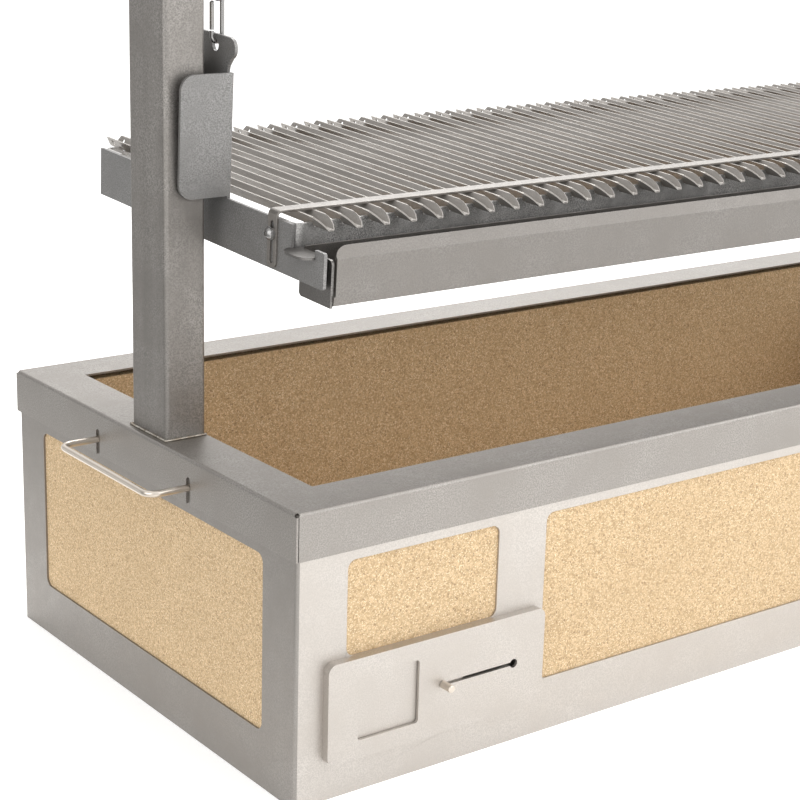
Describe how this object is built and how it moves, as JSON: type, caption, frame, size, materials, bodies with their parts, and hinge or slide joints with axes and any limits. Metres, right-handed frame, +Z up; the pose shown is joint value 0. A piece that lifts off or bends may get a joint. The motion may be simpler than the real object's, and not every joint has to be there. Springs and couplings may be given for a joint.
{
  "type": "charbroiler grill",
  "caption": "Insulated steel charcoal fire box with sliding air dampers and a V-bar grate with drip tray, raised on two posts by a rope winch and hand wheel.",
  "frame": {"origin": "centre of the flat base of the fire box, on the worktop", "axes": "+X along the length towards the hand wheel, +Y from the drip tray side to the back, +Z up"},
  "size_m": [1.362, 0.5089, 1.157],
  "materials": {
    "sheet_steel": "satin",
    "polished_steel": "polished",
    "weld_bead": "rough",
    "gear_steel": "machined",
    "wire_rope": "stranded",
    "bearing_bronze": "machined",
    "insulating_board": "granular",
    "dark_plastic": "moulded",
    "wheel_paint": "satin paint"
  },
  "bodies": {
    "base": {"front_panel": "sheet_steel", "back_panel": "sheet_steel", "end_panel_left": "sheet_steel", "end_panel_right": "sheet_steel", "base_plate": "sheet_steel", "front_board": "insulating_board", "back_board": "insulating_board", "end_board_left": "insulating_board", "end_board_right": "insulating_board", "floor_board": "insulating_board", "rim_frame": "sheet_steel", "carry_handle_left": "polished_steel", "carry_handle_right": "polished_steel", "post_left": "sheet_steel", "post_right": "sheet_steel", "post_welds": "weld_bead", "post_caps": "sheet_steel", "crossbar": "sheet_steel", "damper_cover_left": "sheet_steel", "damper_cover_right": "sheet_steel", "damper_spacer_left": "sheet_steel", "damper_spacer_right": "sheet_steel", "bearing_blocks": "sheet_steel", "bearing_bushes": "bearing_bronze", "pawl_bracket": "sheet_steel", "lift_rope_left": "wire_rope", "lift_rope_right": "wire_rope"},
    "carriage": {"side_plate_left": "sheet_steel", "side_plate_right": "sheet_steel", "guide_pads": "dark_plastic", "grate_front_bar": "sheet_steel", "grate_back_bar": "sheet_steel", "v_bars": "sheet_steel", "hold_down_strap": "sheet_steel", "strap_screws": "polished_steel", "snap_hook_left": "polished_steel", "snap_hook_right": "polished_steel", "rope_eye_left": "polished_steel", "rope_eye_right": "polished_steel"},
    "shutter_left": {"damper_shutter_left": "sheet_steel", "damper_knob_left": "polished_steel"},
    "shutter_right": {"damper_shutter_right": "sheet_steel", "damper_knob_right": "polished_steel"},
    "tray": {"drip_tray_trough": "sheet_steel", "drip_tray_end_left": "sheet_steel", "drip_tray_end_right": "sheet_steel"},
    "gate_left": {"hook_gate_left": "polished_steel"},
    "gate_right": {"hook_gate_right": "polished_steel"},
    "winch": {"rope_drum_left": "polished_steel", "rope_drum_right": "polished_steel", "lift_shaft": "polished_steel", "shaft_collars": "polished_steel", "ratchet_wheel": "gear_steel", "hand_wheel_rim": "wheel_paint", "hand_wheel_spokes": "sheet_steel", "knob_bolt": "polished_steel"},
    "pawl": {"pawl": "gear_steel"},
    "grip": {"wheel_knob": "dark_plastic"}
  },
  "joints": [
    {"name": "grate_lift", "type": "slide", "parent": "base", "child": "carriage", "axis": [0, 0, 1], "range_m": [-0.13404, 0.2175], "deforming": ["lift_rope_left", "lift_rope_right"]},
    {"name": "winch_spin", "type": "hinge", "parent": "base", "child": "winch", "pos_m": [0, 0, 1.008], "axis": [-1, 0, 0], "range_deg": [-485, 790]},
    {"name": "pawl_swing", "type": "hinge", "parent": "base", "child": "pawl", "pos_m": [0.605, -0.034, 1.043], "axis": [1, 0, 0], "range_deg": [-12, 20]},
    {"name": "grip_spin", "type": "hinge", "parent": "winch", "child": "grip", "pos_m": [0.69, -0.14, 1.008], "axis": [1, 0, 0], "continuous": true},
    {"name": "damper_slide_left", "type": "slide", "parent": "base", "child": "shutter_left", "axis": [1, 0, 0], "range_m": [0, 0.078]},
    {"name": "damper_slide_right", "type": "slide", "parent": "base", "child": "shutter_right", "axis": [-1, 0, 0], "range_m": [0, 0.078]},
    {"name": "tray_lift", "type": "slide", "parent": "carriage", "child": "tray", "axis": [0, 0, 1], "range_m": [0, 0.012]},
    {"name": "gate_swing_left", "type": "hinge", "parent": "carriage", "child": "gate_left", "pos_m": [-0.5375, -0.0161, 0.6296], "axis": [0, -1, 0], "range_deg": [0, 14], "stiffness_Nm_per_rad": 0.02, "springref_deg": -20.05},
    {"name": "gate_swing_right", "type": "hinge", "parent": "carriage", "child": "gate_right", "pos_m": [0.5375, -0.0161, 0.6296], "axis": [0, 1, 0], "range_deg": [0, 14], "stiffness_Nm_per_rad": 0.02, "springref_deg": -20.05}
  ],
  "couplings": [
    {"joint": "winch_spin", "follows": "grate_lift", "rad_per_m": 62.5}
  ]
}
